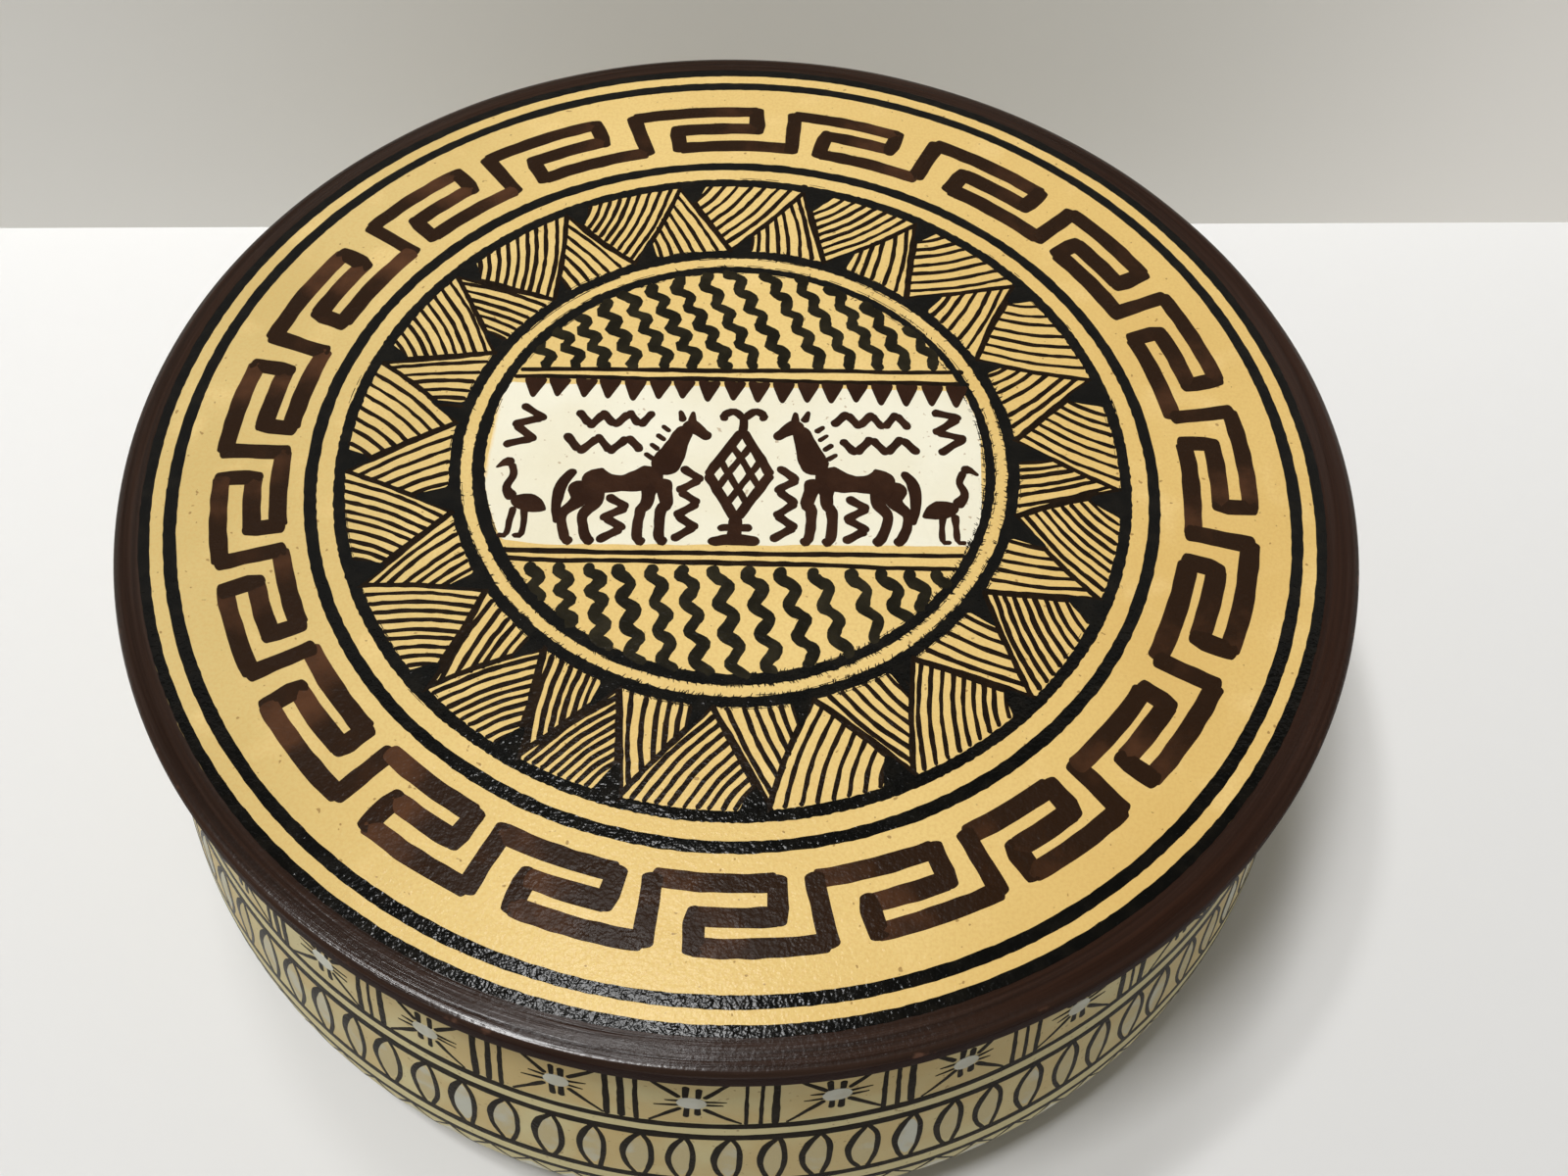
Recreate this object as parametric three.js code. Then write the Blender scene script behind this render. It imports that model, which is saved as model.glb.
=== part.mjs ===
// A low round pottery trinket box: a bellied bowl and the flat painted lid that lies loose on its rim.
// Millimetres, +Z up. The origin is the middle of the base, on the surface that the box stands on.
import * as THREE from "three";

// Driving dimensions of the lid
const lidRadius = 75;
const lidRimThickness = 3.5;
const lidPlateThickness = 5;
const lidTopRounding = 1;
const lidUnderRounding = 0.4;

// Driving dimensions of the ring under the lid that keeps it central in the mouth
const ringDepth = 5.5;
const ringWidth = 4;
const ringClearance = 0.8;
const ringBevel = 0.7;

// Driving dimensions of the bowl's outside
const bowlHeight = 51.2;
const mouthRadius = 72;
const shoulderLineHeight = 19;
const bellyRadius = 77.9;
const bellyHeight = 13;
const lowerLineHeight = 4.5;
const footRadius = 69;
const footHeight = 1.6;
const footRounding = 0.8;
const footRingWidth = 8;
const footHollowDepth = 1;

// Driving dimensions of the bowl's inside
const wallThickness = 5;
const floorThickness = 5;
const floorCornerRadius = 8;
const lipRounding = 0.8;

// The gap that two fired surfaces keep where the lid lies on the lip
const seatGap = 0.3;

// How finely the turned outlines are cut into faces
const facesAround = 96;
const stepsPerLowerWall = 8;
const stepsPerUpperWall = 10;
const stepsPerInside = 12;
const stepsPerRounding = 3;
const stepsPerCorner = 5;

const clayColour = 0xd9c28b;
const rimColour = 0x33221c;

// Points of a quarter round about a centre, from one angle to another, in degrees
function quarterRound(centreRadius, centreHeight, radius, fromAngle, toAngle, steps) {
  const points = [];
  for (let step = 0; step <= steps; step += 1) {
    const angle = THREE.MathUtils.degToRad(fromAngle + ((toAngle - fromAngle) * step) / steps);
    const across = centreRadius + radius * Math.cos(angle);
    points.push(new THREE.Vector2(across, centreHeight + radius * Math.sin(angle)));
  }
  return points;
}

// A solid of revolution about +Z from an outline that runs outwards below and inwards above
function turned(outline, name, colour) {
  const geometry = new THREE.LatheGeometry(outline, facesAround);
  geometry.rotateX(Math.PI / 2);
  const glaze = new THREE.MeshStandardMaterial({ color: colour, roughness: 0.35, metalness: 0 });
  const mesh = new THREE.Mesh(geometry, glaze);
  mesh.name = name;
  return mesh;
}

// The bowl's two outside curves, which meet upright at the belly
const belly = new THREE.Vector2(bellyRadius, bellyHeight);
const lowerWall = new THREE.QuadraticBezierCurve(
  new THREE.Vector2(footRadius, footHeight),
  new THREE.Vector2(bellyRadius, lowerLineHeight),
  belly,
);
const upperWall = new THREE.QuadraticBezierCurve(
  belly,
  new THREE.Vector2(bellyRadius, shoulderLineHeight),
  new THREE.Vector2(mouthRadius, bowlHeight - lipRounding),
);

// The radius of the inside wall at a height, one wall thickness in from the outside curve
function insideRadius(height) {
  const curve = height < bellyHeight ? lowerWall : upperWall;
  let low = 0;
  let high = 1;
  for (let halving = 0; halving < 40; halving += 1) {
    const middle = (low + high) / 2;
    if (curve.getPoint(middle).y < height) {
      low = middle;
    } else {
      high = middle;
    }
  }
  return curve.getPoint((low + high) / 2).x - wallThickness;
}

const mouthBoreRadius = mouthRadius - wallThickness;

// The bowl: hollow foot, belly, plain lip and an inside that follows the outside
function bowlOutline() {
  const hollowRadius = footRadius - footRingWidth;
  const lipFlatHeight = bowlHeight - lipRounding;
  const cornerHeight = floorThickness + floorCornerRadius;
  const cornerRadius = insideRadius(cornerHeight) - floorCornerRadius;
  const outline = [
    new THREE.Vector2(0, footHollowDepth),
    new THREE.Vector2(hollowRadius, footHollowDepth),
    new THREE.Vector2(hollowRadius + footHollowDepth, 0),
    ...quarterRound(footRadius - footRounding, footRounding, footRounding, -90, 0, stepsPerRounding),
    ...lowerWall.getPoints(stepsPerLowerWall),
    ...upperWall.getPoints(stepsPerUpperWall).slice(1),
    ...quarterRound(mouthRadius - lipRounding, lipFlatHeight, lipRounding, 0, 90, stepsPerRounding).slice(1),
    ...quarterRound(mouthBoreRadius + lipRounding, lipFlatHeight, lipRounding, 90, 180, stepsPerRounding),
  ];
  for (let step = 1; step < stepsPerInside; step += 1) {
    const height = lipFlatHeight + ((cornerHeight - lipFlatHeight) * step) / stepsPerInside;
    outline.push(new THREE.Vector2(insideRadius(height), height));
  }
  outline.push(...quarterRound(cornerRadius, cornerHeight, floorCornerRadius, 0, -90, stepsPerCorner));
  outline.push(new THREE.Vector2(0, floorThickness));
  return outline;
}

// The lid: a flat plate whose rim overhangs the lip, with the ring that drops into the mouth
function lidOutline() {
  const seatHeight = bowlHeight + seatGap;
  const topHeight = seatHeight + lidRimThickness;
  const undersideHeight = topHeight - lidPlateThickness;
  const ringFootHeight = seatHeight - ringDepth;
  const ringOuterRadius = mouthBoreRadius - ringClearance;
  const ringInnerRadius = ringOuterRadius - ringWidth;
  const underCentre = lidRadius - lidUnderRounding;
  const topCentre = lidRadius - lidTopRounding;
  return [
    new THREE.Vector2(0, undersideHeight),
    new THREE.Vector2(ringInnerRadius, undersideHeight),
    new THREE.Vector2(ringInnerRadius, ringFootHeight + ringBevel),
    new THREE.Vector2(ringInnerRadius + ringBevel, ringFootHeight),
    new THREE.Vector2(ringOuterRadius - ringBevel, ringFootHeight),
    new THREE.Vector2(ringOuterRadius, ringFootHeight + ringBevel),
    new THREE.Vector2(ringOuterRadius, seatHeight),
    ...quarterRound(underCentre, seatHeight + lidUnderRounding, lidUnderRounding, -90, 0, stepsPerRounding),
    ...quarterRound(topCentre, topHeight - lidTopRounding, lidTopRounding, 0, 90, stepsPerRounding + 1),
    new THREE.Vector2(0, topHeight),
  ];
}

const trinketBox = new THREE.Group();
trinketBox.add(turned(bowlOutline(), "box_body", clayColour));
trinketBox.add(turned(lidOutline(), "lid", rimColour));

export default trinketBox;
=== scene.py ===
import math

import bpy
import numpy as np
from mathutils import Matrix, Vector
from mathutils.geometry import tessellate_polygon


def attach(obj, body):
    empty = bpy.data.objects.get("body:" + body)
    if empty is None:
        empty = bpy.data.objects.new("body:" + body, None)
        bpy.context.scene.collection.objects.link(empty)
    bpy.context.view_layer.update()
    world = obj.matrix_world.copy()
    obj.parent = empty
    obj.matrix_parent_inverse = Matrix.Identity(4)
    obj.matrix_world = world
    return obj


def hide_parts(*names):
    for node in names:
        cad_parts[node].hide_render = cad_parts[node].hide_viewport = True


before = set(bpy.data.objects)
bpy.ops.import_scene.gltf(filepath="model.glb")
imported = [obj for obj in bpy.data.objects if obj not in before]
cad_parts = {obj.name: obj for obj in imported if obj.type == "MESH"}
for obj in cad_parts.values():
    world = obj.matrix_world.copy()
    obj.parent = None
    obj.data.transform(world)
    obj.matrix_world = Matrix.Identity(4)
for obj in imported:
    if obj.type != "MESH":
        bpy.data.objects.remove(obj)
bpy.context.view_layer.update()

# The camera
# It is held by hand a little in front of the box, and looks steeply down on the painted lid.
camera_elevation = math.radians(57.296)
camera_roll = math.radians(3.55)
camera_distance = 0.18434
camera_target = Vector((0.00631, -0.01855, 0.055))
camera_lens = 36.28
sensor_width = 36

backward = Vector((0, -math.cos(camera_elevation), math.sin(camera_elevation)))
level = Vector((1, 0, 0))
upward = backward.cross(level)
camera_right = math.cos(camera_roll) * level + math.sin(camera_roll) * upward
camera_up = -math.sin(camera_roll) * level + math.cos(camera_roll) * upward
camera_data = bpy.data.cameras.new("camera")
camera_data.lens = camera_lens
camera_data.sensor_width = sensor_width
camera_data.clip_start = 0.01
camera_data.clip_end = 20
camera = bpy.data.objects.new("camera", camera_data)
camera_turn = Matrix((camera_right, camera_up, backward)).transposed().to_4x4()
camera.matrix_world = Matrix.Translation(camera_target + backward * camera_distance) @ camera_turn
bpy.context.scene.collection.objects.link(camera)
bpy.context.scene.camera = camera
bpy.context.scene.view_settings.view_transform = "Standard"


# The table and the board behind it
# A smooth white table top, and an upright pale grey board that stands on it close behind the box.
# The board has no back, so that the box can be looked at from behind as well.
table_reach = 3.0
board_foot = Vector((0, 0.0963, 0))
board_turn = math.radians(5.24)
board_height = 0.3


class Wire:
    """A socket of a finish: arithmetic on it adds Math nodes, and node() adds any other node."""

    def __init__(self, tree, socket=None, maker=None):
        self.tree = tree
        self.socket = socket
        self.maker = maker

    def node(self, kind, settings=None, sockets=None, output=0):
        """Adds a node, sets it up, and then fills its sockets with values or wires."""
        made = self.tree.nodes.new(kind)
        for name, value in (settings or {}).items():
            setattr(made, name, value)
        for name, value in (sockets or {}).items():
            if isinstance(value, Wire):
                self.tree.links.new(value.socket, made.inputs[name])
            else:
                made.inputs[name].default_value = value
        return Wire(self.tree, made.outputs[output], made)

    def out(self, name):
        """Another output of the same node."""
        return Wire(self.tree, self.maker.outputs[name], self.maker)

    def maths(self, operation, first, second=0.0):
        return self.node("ShaderNodeMath", {"operation": operation}, {0: first, 1: second})

    def __add__(self, other):
        return self.maths("ADD", self, other)

    def __radd__(self, other):
        return self.maths("ADD", other, self)

    def __sub__(self, other):
        return self.maths("SUBTRACT", self, other)

    def __rsub__(self, other):
        return self.maths("SUBTRACT", other, self)

    def __mul__(self, other):
        return self.maths("MULTIPLY", self, other)

    def __rmul__(self, other):
        return self.maths("MULTIPLY", other, self)

    def rise(self, low, high):
        """0 below low, 1 above high and smooth between them."""
        settings = {"interpolation_type": "SMOOTHSTEP"}
        return self.node("ShaderNodeMapRange", settings, {0: self, 1: low, 2: high, 3: 0.0, 4: 1.0})

    def between(self, first, second):
        """The first colour where this is 0, the second where it is 1."""
        settings = {"data_type": "RGBA"}
        return self.node("ShaderNodeMix", settings, {0: self, 6: first, 7: second}, 2)

    def shaders(self, first, second):
        """The first shader where this is 0, the second where it is 1."""
        return self.node("ShaderNodeMixShader", None, {0: self, 1: first, 2: second})

    def part(self, axis):
        """One coordinate of a place or a direction: X, Y or Z."""
        return self.node("ShaderNodeSeparateXYZ", None, {0: self}).out(axis)


def tint(red, green, blue):
    """A colour as a paint chart gives it, 0 to 255, turned into the shader's linear values."""
    parts = []
    for part in (red, green, blue):
        share = part / 255
        parts.append(share / 12.92 if share <= 0.04045 else ((share + 0.055) / 1.055) ** 2.4)
    return (*parts, 1.0)


def noise(place, scale, detail=2.0):
    """Soft random mottling, 0 to 1, with about scale swings to the metre."""
    sockets = {"Vector": place, "Scale": scale, "Detail": detail, "Roughness": 0.5}
    return place.node("ShaderNodeTexNoise", None, sockets)


def new_finish(name):
    """An empty material, and the place on the object, which its nodes start from."""
    material = bpy.data.materials.new(name)
    material.use_nodes = True
    material.node_tree.nodes.clear()
    return material, Wire(material.node_tree).node("ShaderNodeTexCoord", None, None, "Object")


def closed(material, shader):
    """Joins the last shader to the material's output."""
    output = material.node_tree.nodes.new("ShaderNodeOutputMaterial")
    material.node_tree.links.new(shader.socket, output.inputs["Surface"])
    return material


room_look = tint(206, 204, 198)


def stage_finish(name, front_colour, back_colour, one_sided):
    """Matt paint. The table's colour is painted paler towards the back, as painted light, and far from the
    box it passes into the pale room. Half of the board's look is a glow of painted light and shade that
    varies along it, and its back is see-through."""
    material, place = new_finish(name)
    # Painted light: where the two colours differ, as on the table, the colour grows paler towards the back.
    depth = (place.part("Y") + (noise(place, 9.0, 2.0) - 0.5) * 0.03).rise(-0.16, 0.16)
    colour = depth.between(front_colour, back_colour)
    sockets = {"Base Color": colour, "Roughness": 0.62, "Specular IOR Level": 0.2}
    paint = place.node("ShaderNodeBsdfPrincipled", None, sockets)
    seen = place.node("ShaderNodeLightPath", None, None, "Is Camera Ray")
    if not one_sided:
        away = place.node("ShaderNodeVectorMath", {"operation": "LENGTH"}, {0: place}, "Value")
        far_glow = place.node("ShaderNodeEmission", None, {"Color": room_look, "Strength": 1.0})
        return closed(material, (away.rise(0.34, 0.95) * seen).shaders(paint, far_glow))
    along = place.part("X")
    # Painted light and shade: the board's glow is darkest behind the box and brightest towards the right.
    painted_board_light = along.rise(0.05, 0.15).between(tint(190, 187, 178), tint(228, 224, 217))
    painted_board_light = along.rise(-0.14, -0.02).between(tint(205, 203, 197), painted_board_light)
    painted_board_light = place.node("ShaderNodeEmission", None, {"Color": painted_board_light, "Strength": 1.0})
    seen = (seen + seen.out("Is Glossy Ray") + seen.out("Is Transmission Ray")) * 0.5
    behind = place.node("ShaderNodeNewGeometry", None, None, "Backfacing")
    clear = place.node("ShaderNodeBsdfTransparent")
    return closed(material, behind.shaders(seen.shaders(paint, painted_board_light), clear))


def stage_sheet(name, corners, material):
    """One flat sheet of the surroundings."""
    mesh = bpy.data.meshes.new(name)
    mesh.from_pydata([tuple(corner) for corner in corners], [], [(0, 1, 2, 3)])
    mesh.materials.append(material)
    sheet = bpy.data.objects.new(name, mesh)
    bpy.context.scene.collection.objects.link(sheet)
    return sheet


table_corners = [Vector((x, y, 0)) * table_reach for x, y in ((-1, -1), (1, -1), (1, 1), (-1, 1))]
table_paint = stage_finish("white_table", tint(222, 222, 222), tint(241, 241, 241), False)
stage_sheet("table", table_corners, table_paint)
board_run = Vector((math.cos(board_turn), math.sin(board_turn), 0)) * table_reach
board_rise = Vector((0, 0, board_height))
board_left, board_right = board_foot - board_run, board_foot + board_run
board_corners = [board_left, board_right, board_right + board_rise, board_left + board_rise]
board_paint = stage_finish("grey_board", tint(232, 230, 225), tint(232, 230, 225), True)
board = stage_sheet("board", board_corners, board_paint)
board.visible_shadow = False


# The light
# Two ceiling lamps hang to the left of the box, and a weaker one behind it shines on the varnish.
# The dim room fills in the rest and looks pale. Together they show a level surface's colour as it is.
room_level = 0.20
room_light = (1.0, 0.965, 0.86, 1.0)
lamp_aim = Vector((0, 0, 0.03))
lamps = (
    ("near_lamp", Vector((-0.25, -0.16, 1.07)), 0.20, 6.2),
    ("far_lamp", Vector((-0.60, 0.08, 1.72)), 0.11, 5.6),
    ("shine_lamp", Vector((-0.13, 0.33, 1.45)), 0.17, 2.6),
)


def hang_lamp(name, place, width, power):
    """A square lamp that faces the middle of the box."""
    data = bpy.data.lights.new(name, "AREA")
    data.shape = "SQUARE"
    data.size = width
    data.energy = power
    lamp = bpy.data.objects.new(name, data)
    lamp.location = place
    lamp.rotation_mode = "QUATERNION"
    lamp.rotation_quaternion = (lamp_aim - place).to_track_quat("-Z", "Y")
    bpy.context.scene.collection.objects.link(lamp)


for lamp_name, lamp_place, lamp_width, lamp_power in lamps:
    hang_lamp(lamp_name, lamp_place, lamp_width, lamp_power)
room = bpy.data.worlds.new("room")
room.use_nodes = True
room_tree = Wire(room.node_tree)
room_lit = room_tree.node("ShaderNodeBackground", None, {"Color": room_light, "Strength": room_level})
room_seen = room_tree.node("ShaderNodeBackground", None, {"Color": room_look})
camera_ray = room_tree.node("ShaderNodeLightPath").out("Is Camera Ray")
room_mix = camera_ray.shaders(room_lit, room_seen)
room.node_tree.links.new(room_mix.socket, room.node_tree.nodes["World Output"].inputs["Surface"])
room.node_tree.nodes.remove(room.node_tree.nodes["Background"])
bpy.context.scene.world = room


# The bowl
# One turned piece of red-brown clay. Outside it is dipped in tan slip and varnished after painting,
# the foot is banded dark brown, and the inside and the underside are bare fired clay.
millimetre = 0.001
foot_radius = 69.0
foot_ring_width = 8.0
foot_hollow = 1.0
foot_rounding = 0.8
belly_radius = 77.9
belly_height = 13.0
mouth_radius = 72.0
lip_height = 50.4
lip_rounding = 0.8
wall_thickness = 5.0
corner_wear = 0.35
longest_run = 3.0
floor_height = 5.0
floor_corner = 8.0
wall_lower = ((foot_radius, 2 * foot_rounding), (belly_radius, 4.5), (belly_radius, belly_height))
wall_upper = ((belly_radius, belly_height), (belly_radius, 19.0), (mouth_radius, lip_height))
faces_around = 256


def curve(points, steps):
    """Points along a quadratic curve, each a radius and a height."""
    start, pull, end = (np.array(point) for point in points)
    share = np.linspace(0, 1, steps + 1)[:, None]
    return (1 - share) ** 2 * start + 2 * share * (1 - share) * pull + share**2 * end


def rounding(centre, radius, start, end, steps=8):
    """A quarter round about a centre, from one angle to another in degrees; a pair of radii flattens it."""
    angles = np.radians(np.linspace(start, end, steps + 1))
    return np.asarray(centre) + np.stack([np.cos(angles), np.sin(angles)], 1) * radius


wall_line = np.vstack([curve(wall_lower, 24), curve(wall_upper, 60)[1:]])


def wall_radius(height):
    """The bowl's outside radius at a height."""
    return np.interp(height, wall_line[:, 1], wall_line[:, 0])


def wall_swell(angle, height):
    """How far the hand-turned wall stands out of true."""
    slow = 0.09 * np.sin(2 * angle + 0.6) + 0.04 * np.sin(5 * angle + 0.12 * height)
    return (slow + 0.03 * np.sin(0.55 * height + 1.3 * np.sin(angle))) * np.clip(height / 4, 0, 1)


def softened(outline):
    """The outline with its sharp corners rubbed over."""
    outline = np.asarray(outline, float)
    soft = [outline[0]]
    for before, corner, after in zip(outline, outline[1:], outline[2:]):
        come = corner - before
        go = after - corner
        turn = abs(math.atan2(come[0] * go[1] - come[1] * go[0], come @ go))
        if turn < math.radians(25):
            soft.append(corner)
            continue
        reach = min(corner_wear, 0.45 * np.linalg.norm(come), 0.45 * np.linalg.norm(go))
        start = corner - come / np.linalg.norm(come) * reach
        end = corner + go / np.linalg.norm(go) * reach
        soft.extend(curve((start, corner, end), 4))
    return np.array([*soft, outline[-1]])


def divided(outline):
    """The outline with points added along its long runs."""
    points = [outline[0]]
    for start, end in zip(outline, outline[1:]):
        steps = max(1, math.ceil(np.linalg.norm(end - start) / longest_run))
        points.extend(start + (end - start) * step / steps for step in range(1, steps + 1))
    return np.array(points)


def add_piece(name, places, faces, smooth, material, body, values):
    """Makes a mesh of places in mm, with named values at its points, and lets it ride on its body."""
    mesh = bpy.data.meshes.new(name)
    mesh.from_pydata(np.asarray(places, float) * millimetre, [], faces)
    mesh.polygons.foreach_set("use_smooth", [smooth] * len(faces))
    for value_name, numbers in values.items():
        attribute = mesh.attributes.new(value_name, "FLOAT", "POINT")
        attribute.data.foreach_set("value", np.asarray(numbers, np.float32))
    mesh.materials.append(material)
    piece = bpy.data.objects.new(name, mesh)
    bpy.context.scene.collection.objects.link(piece)
    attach(piece, body)
    return piece


def turned(name, outline, put, material, body, painted):
    """A turned solid: the outline runs outwards below and inwards above, and both ends are on the axis."""
    rings = outline[1:-1]
    angles = np.arange(faces_around) * 2 * math.pi / faces_around
    places = [put(np.zeros(1), np.zeros(1), np.array([outline[0][1]]))]
    for radius, height in rings:
        places.append(put(np.full(faces_around, radius), angles, np.full(faces_around, height)))
    places.append(put(np.zeros(1), np.zeros(1), np.array([outline[-1][1]])))
    places = np.vstack(places)
    top = len(places) - 1
    steps = np.arange(faces_around)
    onward = (steps + 1) % faces_around
    faces = [(0, 1 + b, 1 + a) for a, b in zip(steps, onward)]
    for ring in range(len(rings) - 1):
        low = 1 + ring * faces_around
        high = low + faces_around
        faces += [(low + a, low + b, high + b, high + a) for a, b in zip(steps, onward)]
    last = 1 + (len(rings) - 1) * faces_around
    faces += [(last + a, last + b, top) for a, b in zip(steps, onward)]
    shares = [painted(radius, height) for radius, height in outline]
    values = np.concatenate([[shares[0]], np.repeat(shares[1:-1], faces_around), [shares[-1]]])
    faces = [tuple(int(i) for i in face) for face in faces]
    return add_piece(name, places, faces, True, material, body, {"painted": values})


def inside_line(steps):
    """The bowl's inside wall, from the lip down to the rounding at its floor."""
    heights = np.linspace(lip_height, floor_height + floor_corner, steps + 1)
    return np.stack([wall_radius(heights) - wall_thickness, heights], 1)


foot_hollow_radius = foot_radius - foot_ring_width
floor_radius = belly_radius - wall_thickness - floor_corner
bore_radius = mouth_radius - wall_thickness
bowl_runs = [
    [(0, foot_hollow), (foot_hollow_radius, foot_hollow), (foot_hollow_radius + foot_hollow, 0.0)],
    rounding((foot_radius - foot_rounding, foot_rounding), foot_rounding, -90, 0),
    wall_line,
    rounding((mouth_radius - lip_rounding, lip_height), lip_rounding, 0, 90)[1:],
    rounding((bore_radius + lip_rounding, lip_height), lip_rounding, 90, 180),
    inside_line(24)[1:],
    rounding((floor_radius, floor_height + floor_corner), floor_corner, 0, -90, 14)[1:],
    [(0, floor_height)],
]
bowl_outline = divided(softened(np.vstack(bowl_runs)))


def put_bowl(radius, angle, height):
    """Where a point of the bowl lies once the hand-turned unevenness is added."""
    real = radius + wall_swell(angle, height) * (radius > 40)
    return np.stack([real * np.cos(angle), real * np.sin(angle), height], 1)


def bowl_painted(radius, height):
    """1 on the slipped outside and over the lip, 0 on the bare inside and underside."""
    outside = radius > wall_radius(height) - 1.2 and height > 0.9
    return 1.0 if outside or height > 50.7 else 0.0


def attribute(place, name):
    """A value that the mesh carries at its points."""
    return place.node("ShaderNodeAttribute", {"attribute_name": name}, None, "Fac")


def across(place):
    """The distance from the box's axis."""
    flat = place.node("ShaderNodeVectorMath", {"operation": "MULTIPLY"}, {0: place, 1: (1.0, 1.0, 0.0)})
    return flat.node("ShaderNodeVectorMath", {"operation": "LENGTH"}, {0: flat}, "Value")


def wheel_marks(place, radial_scale, around_scale):
    """Fine streaks that run round the axis, as a brush leaves them on the wheel."""
    x, y = place.part("X"), place.part("Y")
    sockets = {0: across(place) * radial_scale, 1: x * around_scale, 2: y * around_scale}
    streak_place = place.node("ShaderNodeCombineXYZ", None, sockets)
    return noise(streak_place, 1.0, 3.0)


def varnished(place, colour, roughness, relief, relief_depth, gloss=0.1, peel_depth=0.00005, peel_share=1.0):
    """The varnished surface: its colour, the paint's relief and the varnish's fine orange peel."""
    bump = {"Strength": 1.0, "Distance": relief_depth, "Height": relief}
    bumps = place.node("ShaderNodeBump", None, bump)
    peel = noise(place, 1900.0, 1.0) * peel_share
    bump = {"Strength": 1.0, "Distance": peel_depth, "Height": peel, "Normal": bumps}
    skin = place.node("ShaderNodeBump", None, bump)
    sockets = {"Base Color": colour, "Roughness": roughness, "Specular IOR Level": gloss, "Normal": skin}
    return place.node("ShaderNodeBsdfPrincipled", None, sockets)


def bare_clay(place, grit_share=0.0):
    """The colour of the fired clay, with pale grit in it, and the wheel's marks for its relief."""
    clay = noise(place, 70.0, 4.0).between(tint(186, 118, 82), tint(160, 94, 62))
    grit = noise(place, 2300.0, 1.0).rise(0.64, 0.72) * grit_share
    clay = grit.between(clay, tint(214, 168, 128))
    marks = wheel_marks(place, 1500.0, 12.0)
    return (marks * 0.35).between(clay, tint(132, 76, 50)), marks


wall_gloss = 0.01


def bowl_finish():
    """Tan slip outside, with an uneven darker wash in the two upper bands, and bare clay elsewhere."""
    material, place = new_finish("painted_bowl")
    height = place.part("Z")
    drifted = height + (noise(place, 60.0, 3.0) * 0.0012 - 0.0006)
    band = drifted.rise(0.0185, 0.0195) * (1 - drifted.rise(0.0302, 0.0312)) + drifted.rise(0.0340, 0.0350)
    wash = noise(place, 95.0, 3.0).rise(0.30, 0.62) * band
    slip = wash.between(tint(220, 208, 160), tint(212, 188, 134))
    cloud = noise(place, 26.0, 2.0).rise(0.35, 0.7) * 0.35
    slip = cloud.between(slip, tint(202, 188, 146))
    specks = noise(place, 1500.0, 1.0).rise(0.70, 0.76) * 0.5
    slip = specks.between(slip, tint(128, 92, 54))
    foot = 1 - (height + noise(place, 240.0, 2.0) * 0.0007).rise(0.0044, 0.0047)
    slip = foot.between(slip, tint(54, 37, 30))
    clay, marks = bare_clay(place, 0.6)
    glazed = attribute(place, "painted").rise(0.35, 0.65)
    colour = glazed.between(clay, slip)
    roughness = 0.74 - glazed * 0.44 + noise(place, 140.0) * 0.08
    relief = marks * (1 - glazed * 0.75) + noise(place, 1300.0) * 0.25
    return closed(material, varnished(place, colour, roughness, relief, 0.00006, wall_gloss, 0.00003))


bowl = turned("bowl_clay", bowl_outline, put_bowl, bowl_finish(), "bowl", bowl_painted)
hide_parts("box_body")


# The lines round the bowl
# Pairs of thin lines in dark grey-brown part the ornament bands. They are drawn with a brush held
# against the turning bowl, so they wander a little. The paint stands just proud of the clay.
line_dark = tint(34, 28, 20)
line_worn = tint(64, 56, 42)
arc_radius = 76.0


def wander(rng, length, count, grain, closed=False):
    """A smooth random line between -1 and 1, with about one swing to each grain of length."""
    knots = rng.uniform(-1, 1, max(4, int(length / grain) + 3))
    if closed:
        knots[-1] = knots[0]
    at = np.linspace(0, len(knots) - 1.0001, count)
    low = at.astype(int)
    share = at - low
    share = share * share * (3 - 2 * share)
    return knots[low] * (1 - share) + knots[low + 1] * share


def left_of(way):
    """The directions square to the left of the given ones, each of length 1."""
    way = way / np.maximum(np.linalg.norm(way, axis=1), 1e-6)[:, None]
    return np.column_stack([-way[:, 1], way[:, 0]])


def flow(points, step, closed=False):
    """A smooth curve through points, cut about every step."""
    points = np.asarray(points, float)
    if closed:
        guide = np.vstack([points[-1:], points, points[:2]])
    else:
        guide = np.vstack([2 * points[0] - points[1], points, 2 * points[-1] - points[-2]])
    runs = []
    for a, b, c, d in zip(guide, guide[1:], guide[2:], guide[3:]):
        count = max(2, int(np.linalg.norm(c - b) / step) + 1)
        t = np.linspace(0, 1, count, endpoint=False)[:, None]
        bend = (2 * a - 5 * b + 4 * c - d) * t**2 + (3 * b - a - 3 * c + d) * t**3
        runs.append(0.5 * (2 * b + (c - a) * t + bend))
    if not closed:
        runs.append(points[-1:])
    return np.vstack(runs)


edge_sink = 0.03
edge_bevel = 0.03


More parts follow.
